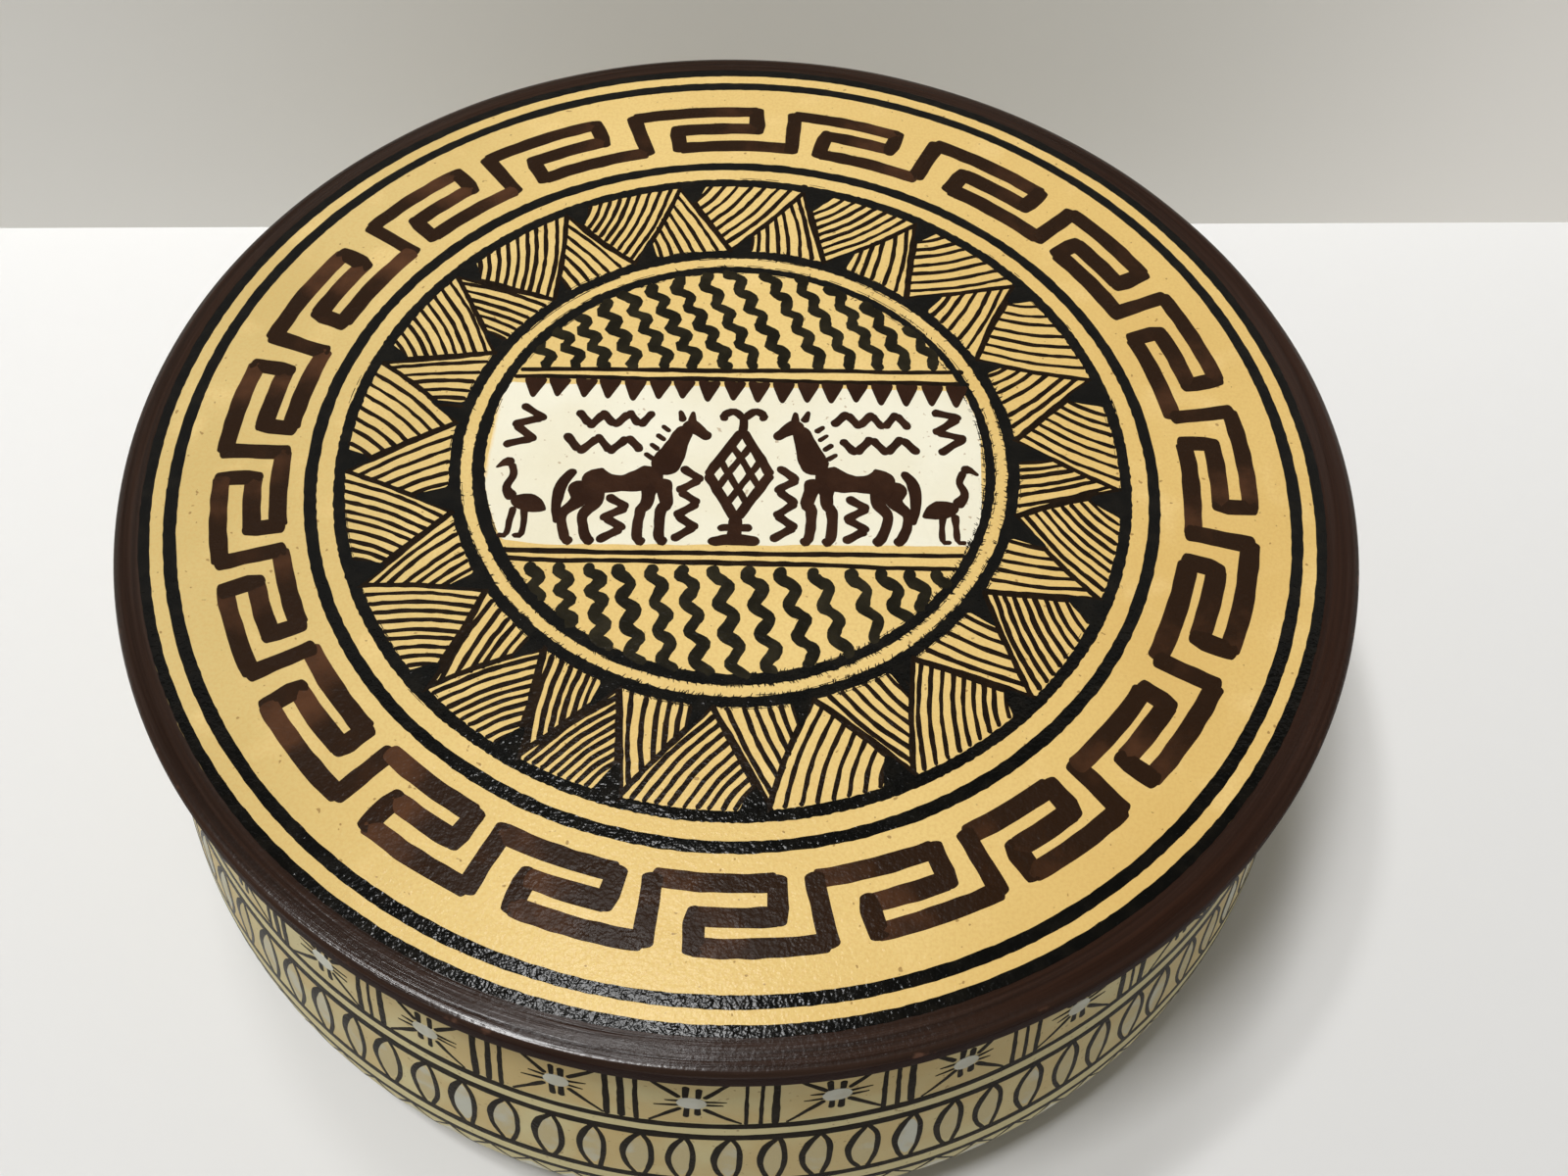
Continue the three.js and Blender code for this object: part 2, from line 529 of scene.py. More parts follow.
class Brush:
    """Gathers the strokes of one paint, drawn flat in mm, and lays them on the clay in low relief."""

    def __init__(self, seed, thickness=0.032, rough=0.05, grain=0.9, step=0.8, cap=1.0):
        self.rng = np.random.default_rng(seed)
        self.cap = cap
        self.thickness = thickness
        self.rough = rough
        self.grain = grain
        self.step = step
        self.places = []
        self.faces = []
        self.inks = []
        self.count = 0

    def face(self, corners):
        """Stores one face."""
        self.faces.append(tuple(int(corner) for corner in corners))

    def keep(self, flat, lifts, inks):
        """Stores points and returns the number of the first one."""
        first = self.count
        self.places.append(np.column_stack([flat, lifts]))
        self.inks.append(np.broadcast_to(inks, len(flat)).astype(float))
        self.count += len(flat)
        return first

    def stroke(self, path, width, ink=1.0, closed=False, straight=False, rough=None, sides=5):
        """One stroke along a path. Width and ink may be lists, spread evenly along it."""
        spine = np.asarray(path, float) if straight else flow(path, min(self.step, 0.5) * 0.5, closed)
        if closed:
            spine = np.vstack([spine, spine[:1]])
        gaps = np.linalg.norm(np.diff(spine, axis=0), axis=1)
        along = np.concatenate([[0], np.cumsum(gaps)])
        length = along[-1]
        widths = np.atleast_1d(np.asarray(width, float))
        inks = np.atleast_1d(np.asarray(ink, float))
        count = max(3, int(length / self.step) + 1)
        at = np.linspace(0, length, count + closed)
        if closed:
            at = at[:-1]
        else:
            tip = min(0.5 * self.cap * min(widths[0], widths[-1]), 0.45 * length)
            easing = tip * (1 - np.cos(np.radians([0, 22, 45, 68, 90])))
            middle = at[(at > tip + 0.1) & (at < length - tip - 0.1)]
            at = np.concatenate([easing, middle, (length - easing)[::-1]])
        share = at / length
        half = 0.5 * np.interp(share, np.linspace(0, 1, len(widths)), widths)
        ink_here = np.interp(share, np.linspace(0, 1, len(inks)), inks)
        centre = np.column_stack([np.interp(at, along, spine[:, 0]), np.interp(at, along, spine[:, 1])])
        ahead = at + 0.12
        behind = at - 0.12
        if closed:
            ahead, behind = ahead % length, behind % length
        way = [np.interp(ahead, along, line) - np.interp(behind, along, line) for line in spine.T]
        side = left_of(np.column_stack(way))
        ragged = self.rough if rough is None else rough
        left = half + ragged * wander(self.rng, length, len(at), self.grain, closed)
        right = half + ragged * wander(self.rng, length, len(at), self.grain, closed)
        if not closed:
            near = np.minimum(at, length - at)
            reach = np.clip(near / np.maximum(half * self.cap, 1e-6), 0, 1)
            shrink = np.sqrt(np.clip(1 - (1 - reach) ** 2, 0.03, 1))
            left, right = left * shrink, right * shrink
        left, right = np.maximum(left, edge_bevel), np.maximum(right, edge_bevel)
        height = self.thickness * self.rng.uniform(0.85, 1.15)
        crown = np.linspace(1, -1, sides - 2)
        offsets = np.concatenate([[1.0], crown, [-1.0]])
        lifts = np.concatenate([[-edge_sink], height * (1 - 0.12 * crown**2), [-edge_sink]])
        flat = []
        for rib, offset in enumerate(offsets):
            edge = left if offset > 0 else right
            bevel = 0.0 if rib in (0, sides - 1) else np.minimum(edge_bevel, 0.3 * edge)
            flat.append(centre + side * (offset * (edge - bevel))[:, None])
        flat = np.stack(flat, 1).reshape(-1, 2)
        first = self.keep(flat, np.tile(lifts, len(at)), np.repeat(ink_here, sides))
        stations = len(at)
        for station in range(stations if closed else stations - 1):
            here = first + station * sides
            there = first + (station + 1) % stations * sides
            for rib in range(sides - 1):
                self.face((here + rib, here + rib + 1, there + rib + 1, there + rib))
            self.face((here + sides - 1, here, there, there + sides - 1))
        if not closed:
            self.face(reversed(range(first, first + sides)))
            last = first + (stations - 1) * sides
            self.face(range(last, last + sides))

    def dab(self, outline, ink=1.0, smooth=True):
        """A filled shape from its outline."""
        rim = flow(outline, 0.3, closed=True) if smooth else np.asarray(outline, float)
        nose, tail = np.roll(rim, -1, 0), np.roll(rim, 1, 0)
        if np.sum(rim[:, 0] * nose[:, 1] - nose[:, 0] * rim[:, 1]) < 0:
            rim, nose, tail = rim[::-1], nose[::-1], tail[::-1]
            nose, tail = tail, nose
        height = self.thickness * self.rng.uniform(0.85, 1.15)
        count = len(rim)
        first = self.keep(rim, np.full(count, -edge_sink), ink)
        crown = rim + left_of(nose - tail) * edge_bevel
        self.keep(crown, np.full(count, height), ink)
        for a in range(count):
            b = (a + 1) % count
            self.face((first + a, first + b, first + count + b, first + count + a))
        cap = tessellate_polygon([[Vector((x, y, 0)) for x, y in crown]])
        for a, b, c in cap:
            turn = np.cross(crown[b] - crown[a], crown[c] - crown[a])
            face = (a, b, c) if turn > 0 else (a, c, b)
            self.face([first + count + i for i in face])
            self.face([first + i for i in reversed(face)])

    def lay(self, name, material, surface, body, slot):
        """Lays the gathered strokes on a surface as one piece."""
        places = surface(*np.vstack(self.places).T)
        values = {"ink": np.concatenate(self.inks)}
        return add_piece(name, places, self.faces, False, material, body, values)


def on_wall(arc, height, lift):
    """A point of the bowl's outside: arc is measured to the right from the front, at arc_radius."""
    angle = arc / arc_radius - math.pi / 2
    radius = wall_radius(height) + wall_swell(angle, height) + lift
    return np.stack([radius * np.cos(angle), radius * np.sin(angle), height], 1)


bowl_wall = (on_wall, "bowl", "painted_bowl")


def ink_finish(name, dark, thin, gloss, patch_scale=420.0, patch_depth=0.35, roughness=0.18):
    """Brushed paint: thin where the brush ran dry, dark where it was full, under the varnish."""
    material, place = new_finish(name)
    ink = attribute(place, "ink")
    patches = noise(place, patch_scale, 3.0).rise(0.3, 0.72)
    thinness = (1 - ink) + patches * patch_depth
    colour = thinness.rise(0.0, 1.15).between(dark, thin)
    roughness = roughness + noise(place, 300.0) * 0.12
    relief = noise(place, 1700.0, 2.0)
    return closed(material, varnished(place, colour, roughness, relief, 0.00002, gloss))


round_arc = 2 * math.pi * arc_radius
line_heights = ((33.9, 1.2), (31.0, 1.35), (18.8, 1.35), (15.4, 1.15), (46.0, 1.1), (5.9, 0.9))
round_lines = Brush(11, rough=0.06, grain=1.6, step=1.4)
for line_height, line_width in line_heights:
    turns = np.linspace(-1.005 * math.pi, 1.005 * math.pi, 340)
    drift = 0.12 * wander(round_lines.rng, round_arc, len(turns), 40.0, closed=True)
    path = np.column_stack([turns * arc_radius, line_height + drift])
    widths = line_width * (1 + 0.14 * wander(round_lines.rng, round_arc, 60, 9.0))
    round_lines.stroke(path, widths, straight=True)
bowl_ink = ink_finish("bowl_ink", line_dark, line_worn, wall_gloss)
round_lines.lay("bowl_ring_lines", bowl_ink, *bowl_wall)


# The star panels under the lip
# 31 panels run round the bowl. Each has a star of short bars and thin rays about a pale dot,
# and three upright lines part it from the next. Bars, rays and lines are freehand in the dark paint.
panel_count = 31
panel_pitch = round_arc / panel_count
panel_low, panel_high = 34.3, 45.6
star_height = 39.6
first_star = math.radians(-101.7 + 90) * arc_radius

star_brush = Brush(21, rough=0.045, grain=0.7, step=0.9)
dot_brush = Brush(22, thickness=0.06, rough=0.07, grain=1.3, step=0.4)
panel_rng = np.random.default_rng(23)
for panel in range(panel_count):
    middle = first_star + (panel + 0.06 * panel_rng.uniform(-1, 1)) * panel_pitch
    heart = np.array([middle, star_height + panel_rng.uniform(-0.35, 0.35)])
    for line, spread in enumerate((-1.55, 0.05, 1.6)):
        foot = first_star + (panel + 0.5) * panel_pitch + spread + panel_rng.uniform(-0.2, 0.2)
        lean = panel_rng.uniform(-0.25, 0.25)
        bend = panel_rng.uniform(-0.12, 0.12)
        path = [(foot, panel_low), (foot + bend + 0.5 * lean, 40.0), (foot + lean, panel_high)]
        thick = panel_rng.choice([0.5, 0.64, 0.78, 0.9])
        star_brush.stroke(path, [thick, thick * 1.05, thick * 0.9, thick], [0.85, 1.0, 0.9])
    for side in (-1, 1):
        for up in (-1, 1):
            corner_height = panel_low + 0.2 if up < 0 else panel_high - 0.6
            corner = np.array([middle + side * (5.2 + panel_rng.uniform(-0.5, 0.7)), corner_height])
            start = heart + np.array([side * 1.25, up * 1.15]) + panel_rng.uniform(-0.15, 0.15, 2)
            bow = panel_rng.uniform(-0.12, 0.12, 2)
            ray = [start, 0.5 * (start + corner) + bow, corner]
            star_brush.stroke(ray, [0.78, 0.66, 0.52, 0.36], [1.0, 0.8])
        for up in (-1, 1):
            start = heart + np.array([side * 1.2, up * 0.42 + panel_rng.uniform(-0.12, 0.12)])
            reach = panel_rng.uniform(1.7, 3.0)
            end = start + np.array([side * reach, up * 0.16 + panel_rng.uniform(-0.25, 0.25)])
            star_brush.stroke([start, 0.5 * (start + end), end], [0.62, 0.44, 0.22], [1.0, 0.8])
        for up in (-1, 1):
            near = heart + np.array([side * 0.62 + panel_rng.uniform(-0.12, 0.12), up * 1.0])
            reach = panel_rng.uniform(1.7, 2.7)
            end = near + np.array([panel_rng.uniform(-0.12, 0.12), up * reach])
            thick = panel_rng.uniform(0.66, 0.84)
            star_brush.stroke([near, 0.5 * (near + end), end], [thick * 0.9, thick, thick * 1.1], 1.0)
    slope = panel_rng.uniform(-0.12, 0.12)
    breadth = panel_rng.uniform(0.75, 0.95)
    dot_brush.stroke(
        [heart - (1.75 * breadth, slope), heart, heart + (1.75 * breadth, slope)],
        [2.4, 2.5, 2.4],
        panel_rng.uniform(0.7, 1.0),
        sides=7,
    )
star_brush.lay("star_panel_strokes", bowl_ink, *bowl_wall)


def chalk_finish(name, full, thin):
    """Pale body colour, dabbed on so that the slip shows through it in patches."""
    material, place = new_finish(name)
    ink = attribute(place, "ink")
    patches = noise(place, 260.0, 3.0).rise(0.36, 0.66)
    cover = ink - patches * 0.55
    colour = cover.rise(0.0, 0.8).between(thin, full)
    roughness = 0.36 + noise(place, 500.0) * 0.12
    return closed(material, varnished(place, colour, roughness, noise(place, 1500.0), 0.00003, wall_gloss))


dot_white = chalk_finish("dot_white", tint(216, 216, 204), tint(196, 192, 172))
dot_brush.lay("star_panel_dots", dot_white, *bowl_wall)


# The pointed ovals round the shoulder
# 93 ovals stand between the two pairs of lines. Each is two brush arcs, the left one starting
# with a heavy head, and a thin pale wash fills it.
oval_count = 93
oval_pitch = round_arc / oval_count
oval_low, oval_high = 19.2, 30.6
first_oval = math.radians(-118.1 + 102.5 / 26.67 + 90) * arc_radius

oval_brush = Brush(31, rough=0.05, grain=1.1, step=0.8)
wash_brush = Brush(32, thickness=0.016, rough=0.06, grain=1.4, step=0.8)
oval_rng = np.random.default_rng(33)
for oval in range(oval_count):
    middle = first_oval + (oval + 0.05 * oval_rng.uniform(-1, 1)) * oval_pitch
    half_width = 1.50 + oval_rng.uniform(-0.16, 0.18)
    lean = oval_rng.uniform(-0.2, 0.2)
    tip = middle + 0.62 + lean
    toe = middle + 0.30 - lean
    left_path = [
        (tip - 0.25, oval_high),
        (middle - 0.55 * half_width, oval_high - 2.2),
        (middle - half_width, oval_high - 5.4),
        (middle - 0.78 * half_width, oval_high - 8.8),
        (toe - 0.50, oval_low - 0.1),
    ]
    right_path = [
        (tip, oval_high),
        (middle + 0.92 * half_width, oval_high - 2.2),
        (middle + 1.05 * half_width, oval_high - 5.0),
        (middle + 0.93 * half_width, oval_high - 8.4),
        (toe + 0.42, oval_low - 0.1),
    ]
    heavy = oval_rng.uniform(0.82, 1.04)
    oval_brush.stroke(left_path, [0.66, heavy, heavy * 0.95, 0.74, 0.66, 0.60], [1.0, 1.0, 0.85, 0.75])
    even = oval_rng.uniform(0.62, 0.76)
    oval_brush.stroke(right_path, [0.60, even, even * 1.05, even, 0.58], [0.95, 1.0, 0.8])
    wash_path = [
        (0.5 * (tip + middle), oval_high - 1.2),
        (middle + 0.05, 0.5 * (oval_low + oval_high)),
        (0.5 * (toe + middle), oval_low + 1.0),
    ]
    fill = 2 * half_width
    wash_widths = [0.5, 0.62 * fill, 0.9 * fill, 0.96 * fill, 0.9 * fill, 0.6 * fill, 0.4]
    cover = 1.0 if oval_rng.uniform() < 0.12 else oval_rng.uniform(0.25, 0.7)
    wash_brush.stroke(wash_path, wash_widths, cover * oval_rng.uniform(0.8, 1.0, 5), sides=7)
oval_brush.lay("oval_band_strokes", bowl_ink, *bowl_wall)
oval_wash = chalk_finish("oval_wash", tint(206, 206, 192), tint(203, 188, 146))
wash_brush.lay("oval_band_fills", oval_wash, *bowl_wall)


# The lattice round the belly
# Thin crossing lines make a row of tall diamonds, and two of every three are washed pale.
# Below it one line and the dark foot band close the ornament.
diamond_count = 90
diamond_pitch = round_arc / diamond_count
lattice_low, lattice_high = 6.2, 15.2

lattice_brush = Brush(41, rough=0.04, grain=1.0, step=0.8)
diamond_brush = Brush(42, thickness=0.016, rough=0.1, grain=1.2, step=0.8)
lattice_rng = np.random.default_rng(43)
first_diamond = math.radians(-64.5 + 90) * arc_radius
for diamond in range(diamond_count):
    top = first_diamond + diamond * diamond_pitch + lattice_rng.uniform(-0.2, 0.2)
    for side in (-1, 1):
        foot = top + side * (diamond_pitch + lattice_rng.uniform(-0.35, 0.35))
        bow = 0.35 * side
        path = [
            (top, lattice_high),
            (top + 0.30 * (foot - top) + bow, lattice_high - 2.4),
            (top + 0.52 * (foot - top) + 0.4 * bow, 0.5 * (lattice_low + lattice_high)),
            (foot - 0.25 * (foot - top), lattice_low + 2.2),
            (foot, lattice_low),
        ]
        thin = lattice_rng.uniform(0.32, 0.46)
        lattice_brush.stroke(path, [thin * 1.1, thin, thin, thin * 0.85], [0.9, 0.7, 0.8])
    if diamond % 3 != 1:
        centre_line = [(top, lattice_high - 1.3), (top, 10.7), (top, lattice_low + 1.4)]
        cover = lattice_rng.uniform(0.5, 1.0, 3)
        diamond_brush.stroke(centre_line, [0.5, 2.6, 4.1, 2.7, 0.4], cover, sides=7)
lattice_brush.lay("lattice_strokes", bowl_ink, *bowl_wall)
lattice_wash = chalk_finish("lattice_wash", tint(222, 220, 206), tint(212, 202, 170))
diamond_brush.lay("lattice_fills", lattice_wash, *bowl_wall)


# The lid
# A flat disc of the same clay with a ring under it that drops into the mouth. Its top is covered in
# cream slip, its edge is banded dark brown on the wheel, and a satin varnish lies over both. The
# underside and the ring are bare clay.
lid_top = 55.0
plate_underside = 50.0
seat_height = 51.5
ring_foot = 46.0
ring_bevel = 0.7
ring_inside, ring_outside = 62.2, 66.2
brown_band_start = 0.0715

ring_outline = [
    (0, plate_underside),
    (ring_inside, plate_underside),
    (ring_inside, ring_foot + ring_bevel),
    (ring_inside + ring_bevel, ring_foot),
    (ring_outside - ring_bevel, ring_foot),
    (ring_outside, ring_foot + ring_bevel),
    (ring_outside, seat_height),
]
under_edge = rounding((74.6, 51.9), 0.4, -90, 0)
top_edge = rounding((73.9, 54.3), (1.1, 0.7), 0, 90, 12)
lid_outline = divided(softened(np.vstack([ring_outline, under_edge, top_edge, [(0, lid_top)]])))


def lid_swell(x, y):
    """How far the lid's top rises and dips from flat."""
    broad = 0.05 * np.sin(0.105 * x + 0.5) * np.cos(0.085 * y)
    return broad + 0.02 * np.sin(0.23 * x - 0.19 * y) + 0.015 * np.sin(0.31 * y + 1.1)


def put_lid(radius, angle, height):
    """Where a point of the lid lies once the hand-made unevenness is added."""
    waviness = 0.1 + 0.6 * np.cos(angle + 0.6) + 0.07 * np.sin(3 * angle + 1) + 0.04 * np.sin(7 * angle)
    real = radius + waviness * np.clip((radius - 69) / 4, 0, 1)
    x, y = real * np.cos(angle), real * np.sin(angle)
    return np.stack([x, y, height + lid_swell(x, y) * np.clip((height - 51.6) / 3, 0, 1)], 1)


def lid_painted(radius, height):
    """1 on the slipped top and edge, 0 on the bare underside."""
    return 1.0 if height > 51.7 or radius > 72.0 else 0.0


def lid_finish():
    """Cream slip, cloudy and finely speckled and painted darker at its left and right sides as shade, with
    the dark brown band streaked round the edge, its upright side painted darker as shade.
    """
    material, place = new_finish("painted_lid")
    cloud = noise(place, 34.0, 3.0).rise(0.32, 0.70)
    along, height = place.part("X"), place.part("Z")
    slip = cloud.between(tint(232, 203, 134), tint(226, 195, 125))
    # Painted shade: the slip is coloured darker over the lid's left side, and darker and more orange over its
    # right side.
    slip = along.rise(-0.066, -0.012).between(cloud.between(tint(212, 187, 125), tint(205, 179, 116)), slip)
    slip = along.rise(0.005, 0.048).between(slip, cloud.between(tint(224, 191, 119), tint(218, 183, 111)))
    pale = noise(place, 110.0, 3.0).rise(0.52, 0.74) * 0.45
    slip = pale.between(slip, tint(240, 211, 146))
    grain = noise(place, 2600.0, 1.0).rise(0.38, 0.68) * 0.22
    slip = grain.between(slip, tint(205, 160, 92))
    specks = noise(place, 1250.0, 1.0).rise(0.735, 0.775) * 0.6
    slip = specks.between(slip, tint(122, 84, 44))
    streaks = wheel_marks(place, 1900.0, 26.0)
    edge = across(place) + (noise(place, 420.0) - 0.5) * 0.0004
    edge = edge.rise(brown_band_start - 0.0001, brown_band_start + 0.0001)
    brown = streaks.rise(0.30, 0.72).between(tint(33, 20, 13), tint(49, 32, 23))
    red = (along + noise(place, 30.0) * 0.03).rise(0.02, 0.08) * 0.6
    brown = red.between(brown, streaks.rise(0.25, 0.75).between(tint(39, 22, 15), tint(50, 29, 20)))
    # Painted shade: the rim's upright side is coloured darker than its top.
    side = 1 - height.rise(0.05435, 0.05465)
    brown = side.between(brown, streaks.between(tint(33, 16, 10), tint(46, 24, 16)))
    rub = noise(place, 330.0, 3.0).rise(0.60, 0.70)
    rub = rub * height.rise(0.0541, 0.0544) * (1 - height.rise(0.0547, 0.0549))
    brown = (rub * 0.5).between(brown, tint(120, 84, 66))
    colour = edge.between(slip, brown)
    clay, marks = bare_clay(place)
    glazed = attribute(place, "painted").rise(0.35, 0.65)
    colour = glazed.between(clay, colour)
    roughness = 0.74 - glazed * 0.60 + noise(place, 140.0) * 0.08
    relief = marks * (1 - glazed) + streaks * edge * 2.2 + noise(place, 1300.0) * 0.2 * (1 - edge)
    top = varnished(place, colour, roughness, relief, 0.00005, peel_share=1 - edge * 0.7)
    rim = varnished(place, colour, 0.5, relief, 0.00005, wall_gloss)
    shine = varnished(place, colour, 0.15 + streaks * 0.16, relief, 0.00004, 0.36, 0.00003)
    upright = place.node("ShaderNodeNewGeometry", None, None, "Normal").part("Z")
    smear = wheel_marks(place, 760.0, 24.0).rise(0.38, 0.64) * 0.5
    rounded = ((1 - upright.rise(0.985, 0.9985)) * upright.rise(0.5, 0.76) * 0.6 + smear + 0.08) * edge
    return closed(material, (side * edge).shaders(rounded.shaders(top, shine), rim))


lid = turned("lid_clay", lid_outline, put_lid, lid_finish(), "lid", lid_painted)
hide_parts("lid")


# The rings on the lid
# Black lines drawn on the turning wheel frame the ornament bands. The two round the middle field
# were drawn with a nearly dry brush, so their edges are ragged and break into hairs.
ring_black = tint(4, 4, 3)
ring_thin = tint(40, 35, 27)
inner_middle = np.array([-0.6, 0.15])
dry_outer, dry_inner = (34.24, 1.46), (31.38, 1.36)
ring_lines = (
    (71.02, 1.30, 0.05, (0, 0)),
    (68.10, 1.50, 0.05, (0, 0)),
    (51.38, 1.53, 0.07, inner_middle + (0.09, -0.25)),
    (47.98, 1.43, 0.08, inner_middle + (0.08, -0.16)),
    (*dry_outer, 0.09, inner_middle),
    (*dry_inner, 0.09, inner_middle),
)


def on_lid(x, y, lift):
    """A point of the lid's top."""
    return np.stack([x, y, lid_top + lid_swell(x, y) + lift], 1)


lid_face = (on_lid, "lid", "painted_lid")


def arc_path(middle, radius, start, end, step=0.5):
    """Points on an arc about a middle, between two angles in radians."""
    count = max(3, int(abs(end - start) * radius / step))
    turn = np.linspace(start, end, count)
    return np.column_stack([middle[0] + radius * np.cos(turn), middle[1] + radius * np.sin(turn)])


ring_brush = Brush(51)
ring_rng = ring_brush.rng
for ring_radius, ring_width, ragged, middle in ring_lines:
    ring_brush.grain = 0.45 if ragged > 0.075 else 0.8
    ring_brush.step = 0.24 if ragged > 0.075 else 0.5
    path = arc_path(middle, ring_radius, 0, 2 * math.pi)[:-1]
    swing = 1 + 0.07 * wander(ring_rng, 2 * math.pi * ring_radius, 90, 12.0, closed=True)
    if ring_radius < 33:
        swing = swing + 0.22 * np.cos(np.linspace(0, 2 * math.pi, 90) - math.radians(230))
    ring_brush.stroke(path, ring_width * swing, closed=True, straight=True, rough=ragged)
for (ring_radius, ring_width), hairs in ((dry_outer, 90), (dry_inner, 90), ((48.00, 1.45), 40)):
    for hair in range(hairs):
        turn = ring_rng.uniform(0, 2 * math.pi)
        side = ring_rng.choice([-1, 1])
        reach = ring_radius + side * (0.5 * ring_width + ring_rng.uniform(0.0, 0.16))
        length = ring_rng.uniform(0.8, 3.6) / ring_radius
        path = arc_path(inner_middle, reach, turn, turn + length)
        ring_brush.stroke(path, ring_rng.uniform(0.07, 0.13), 0.7, straight=True, rough=0.02, sides=4)
for (ring_radius, ring_width), outwards in ((dry_outer, -1), (dry_outer, 1), (dry_inner, 1), (dry_inner, -1)):
    for hair in range(230):
        turn = math.radians(ring_rng.normal(0, 60) - 60)
        start = ring_radius + outwards * 0.44 * ring_width
        end = ring_radius + outwards * (0.5 * ring_width + ring_rng.uniform(0.12, 0.45))
        slant = ring_rng.uniform(0.0, 0.3) / ring_radius
        root_end = arc_path(inner_middle, start, turn, turn, 1)[0]
        loose_end = arc_path(inner_middle, end, turn + slant, turn, 1)[0]
        ring_brush.stroke([root_end, loose_end], [0.19, 0.08], 0.8, straight=True, rough=0.0, sides=4)
lid_gloss = 0.1
lid_black = ink_finish("lid_black", ring_black, ring_thin, lid_gloss * 2, roughness=0.07)
ring_brush.lay("lid_ring_lines", lid_black, *lid_face)


# The running key pattern
# 20 keys in one brown line go round the lid, each drawn in six short strokes of a broad marker,
# and some corners are gone over again.
# The ink is reddish where it ran thin along the level strokes and dark where strokes start and cross.
key_starts = (13.5, 34.0, 52.0, 72.3, 93.5, 112.5, 133.0, 150.0, 168.8, 187.5,
              206.8, 225.0, 240.5, 258.0, 275.5, 293.0, 309.5, 326.8, 341.5, 356.5)
key_low, key_middle, key_high = 55.46, 58.97, 62.62
key_stroke = 2.25


def clock(turn, radius, middle=(0, 0)):
    """A point at a clockwise angle in degrees from the left."""
    angle = math.radians(180 - turn)
    return np.array([middle[0] + radius * math.cos(angle), middle[1] + radius * math.sin(angle)])


def level_run(start, end, radius):
    """A key's stroke along the ring, from one clockwise angle to another."""
    steps = max(3, int(abs(end - start) / 1.5))
    return [clock(start + (end - start) * step / steps, radius) for step in range(steps + 1)]


key_brush = Brush(61, thickness=0.03, rough=0.07, grain=1.6, step=0.45, cap=0.5)
shake = key_brush.rng.uniform
degree_length = math.radians(1) * 59
for key, start in enumerate(key_starts):
    following = key_starts[(key + 1) % len(key_starts)] + (360 if key == len(key_starts) - 1 else 0)
    pitch = following - start
    hook = start + pitch * (0.735 + shake(-0.02, 0.02))
    heel = start + pitch * (0.245 + shake(-0.02, 0.02))
    low, middle, high = (radius + shake(-0.32, 0.32) for radius in (key_low, key_middle, key_high))
    broad = key_stroke * shake(0.97, 1.10) * (1.06 if 110 < start < 230 else 1.0)
    pale = shake(0.35, 0.6) if start < 40 or start > 255 else shake(0.2, 0.5)
    thin = 1 - pale
    lean = shake(-0.25, 0.25) / degree_length
    upright = [clock(start - lean, low - 0.75), clock(start, middle), clock(start + lean, high + 0.7)]
    key_brush.stroke(upright, [broad * 0.96, broad * 0.92, broad], [1.0, 0.82, 0.9, 1.0])
    top = level_run(start - 0.35, hook + 0.45, high)
    inks = [1.0, 1.0, 0.95, 1 - 0.8 * pale, thin, 1 - 0.8 * pale]
    key_brush.stroke(top, [broad * 0.93, broad * 0.96, broad * 0.92], inks)
    drop = [clock(hook, high + 0.9), clock(hook + 0.15, 0.5 * (high + middle))]
    drop.append(clock(hook + shake(-0.1, 0.35), middle - 1.15))
    key_brush.stroke(drop, [broad * 0.92, broad * 0.98, broad * 1.02, broad * 0.62], [1.0, 0.9, 1.0])
    back = level_run(hook + 0.3, heel - 0.2, middle)
    inks = [1 - 0.8 * pale, thin, 1 - 0.6 * pale, 1.0, 1.0]
    key_brush.stroke(back, [broad * 0.95, broad, broad * 0.98], inks)
    fall = [clock(heel + shake(-0.1, 0.3), middle + 1.1), clock(heel, 0.5 * (middle + low))]
    fall.append(clock(heel - 0.1, low - 0.85))
    key_brush.stroke(fall, [broad * 0.6, broad, broad * 0.97, broad * 0.95], [1.0, 0.88, 1.0])
    base = level_run(heel - 0.3, following + 0.35, low)
    inks = [1.0, 1.0, 0.95, 1 - 0.6 * pale, thin, 1 - 0.9 * pale]
    key_brush.stroke(base, [broad * 0.95, broad * 0.98, broad * 0.94], inks)
    for corner, reach in ((hook + 0.2, high + 0.2), (heel, low), (start, high)):
        if shake(0, 1) < 0.55:
            nub = clock(corner + shake(-0.2, 0.2), reach)
            key_brush.stroke([nub + shake(-0.25, 0.25, 2), nub + shake(-0.25, 0.25, 2)], broad * 0.9, 1.0)


def marker_finish():
    """Brown marker ink: patchy, dark where there is much of it and reddish where it is thin."""
    material, place = new_finish("key_brown")
    ink = attribute(place, "ink")
    patches = noise(place, 300.0, 4.0).rise(0.25, 0.75)
    depth = (ink * 1.15 - 0.05 + (patches - 0.5) * 0.3).rise(0.15, 1.0)
    colour = depth.between(tint(89, 57, 37), tint(41, 25, 13))
    roughness = 0.20 + patches * 0.1
    return closed(material, varnished(place, colour, roughness, noise(place, 1500.0), 0.00002, lid_gloss))


key_brush.lay("key_pattern", marker_finish(), *lid_face)


# The ring of hatched triangles
# 18 triangles point inwards and 18 outwards between two black rings. Each is hatched by hand with
# parallel lines, and its sharp left corner is filled in solid.
outer_corners = (14.3, 35.0, 57.0, 76.8, 97.8, 117.8, 138.3, 160.5, 182.0,
                 202.0, 221.5, 242.0, 261.8, 281.5, 296.2, 312.8, 332.5, 353.0)
inner_corners = (24.3, 43.2, 63.5, 85.0, 106.0, 126.5, 149.0, 171.5, 190.5,
                 210.0, 231.0, 251.8, 270.5, 288.0, 304.5, 322.0, 342.0, 364.5)
triangle_out, triangle_in = 47.45, 34.85

